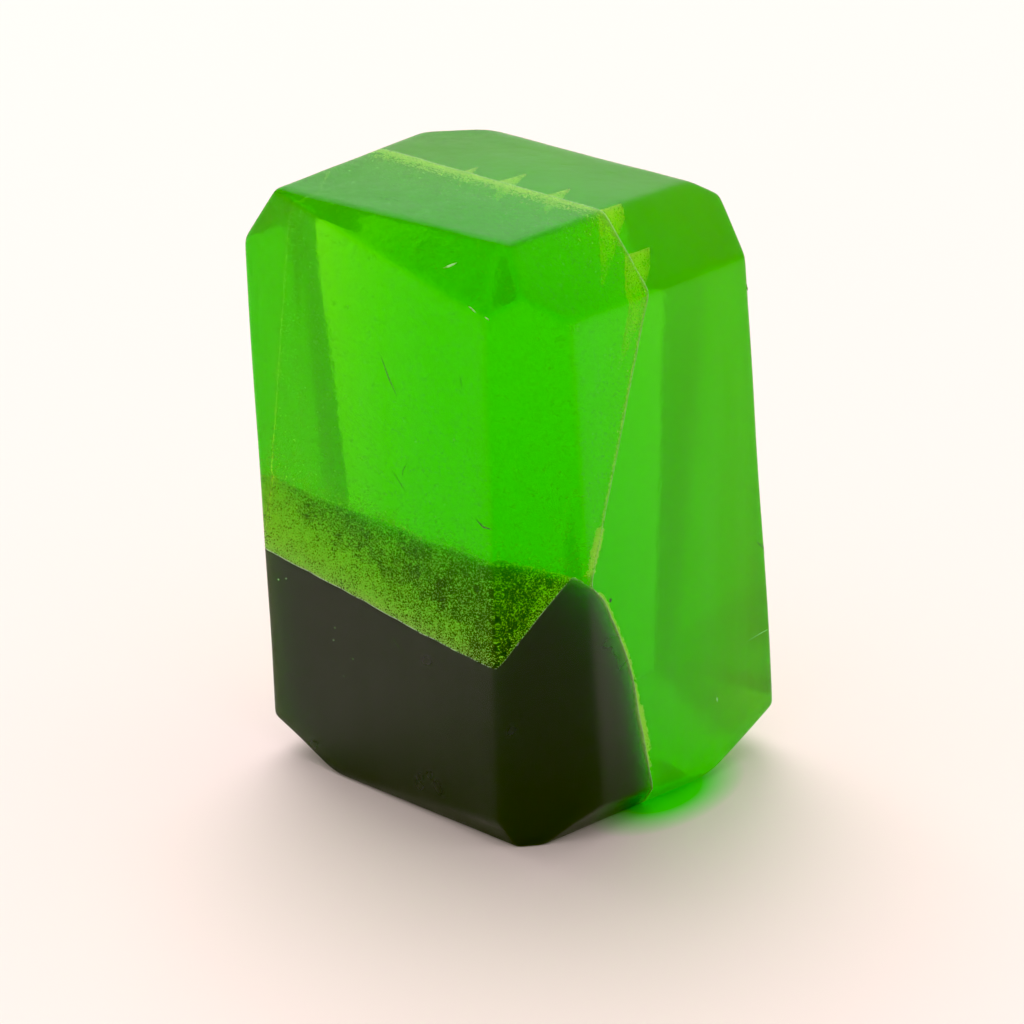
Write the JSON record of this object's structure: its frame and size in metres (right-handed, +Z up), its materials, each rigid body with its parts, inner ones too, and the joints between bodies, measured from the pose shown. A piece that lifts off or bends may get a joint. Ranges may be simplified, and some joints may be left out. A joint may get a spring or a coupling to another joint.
{
  "type": "faceted soap bar",
  "caption": "Translucent green glycerin soap bar cut like a crystal, with a dark core chunk and froth seams, standing on end.",
  "frame": {"origin": "centre of the bar's box, on the flat base that it stands on", "axes": "+Z up along the bar's length, -Y out of the broad front face, +X out of the broad right face"},
  "size_m": [0.0432, 0.0426, 0.07],
  "materials": {
    "clear_soap": "translucent bright green soap, satin knife-cut skin",
    "dark_soap": "near-opaque black-green soap, satin knife-cut skin",
    "froth": "fine pale bubbles set in the soap"
  },
  "bodies": {
    "root": {"dark_pour": "dark_soap", "front_pour": "clear_soap", "rear_pour": "clear_soap", "slope_froth": "froth", "seam_froth": "froth", "rear_froth": "froth"}
  },
  "joints": []
}
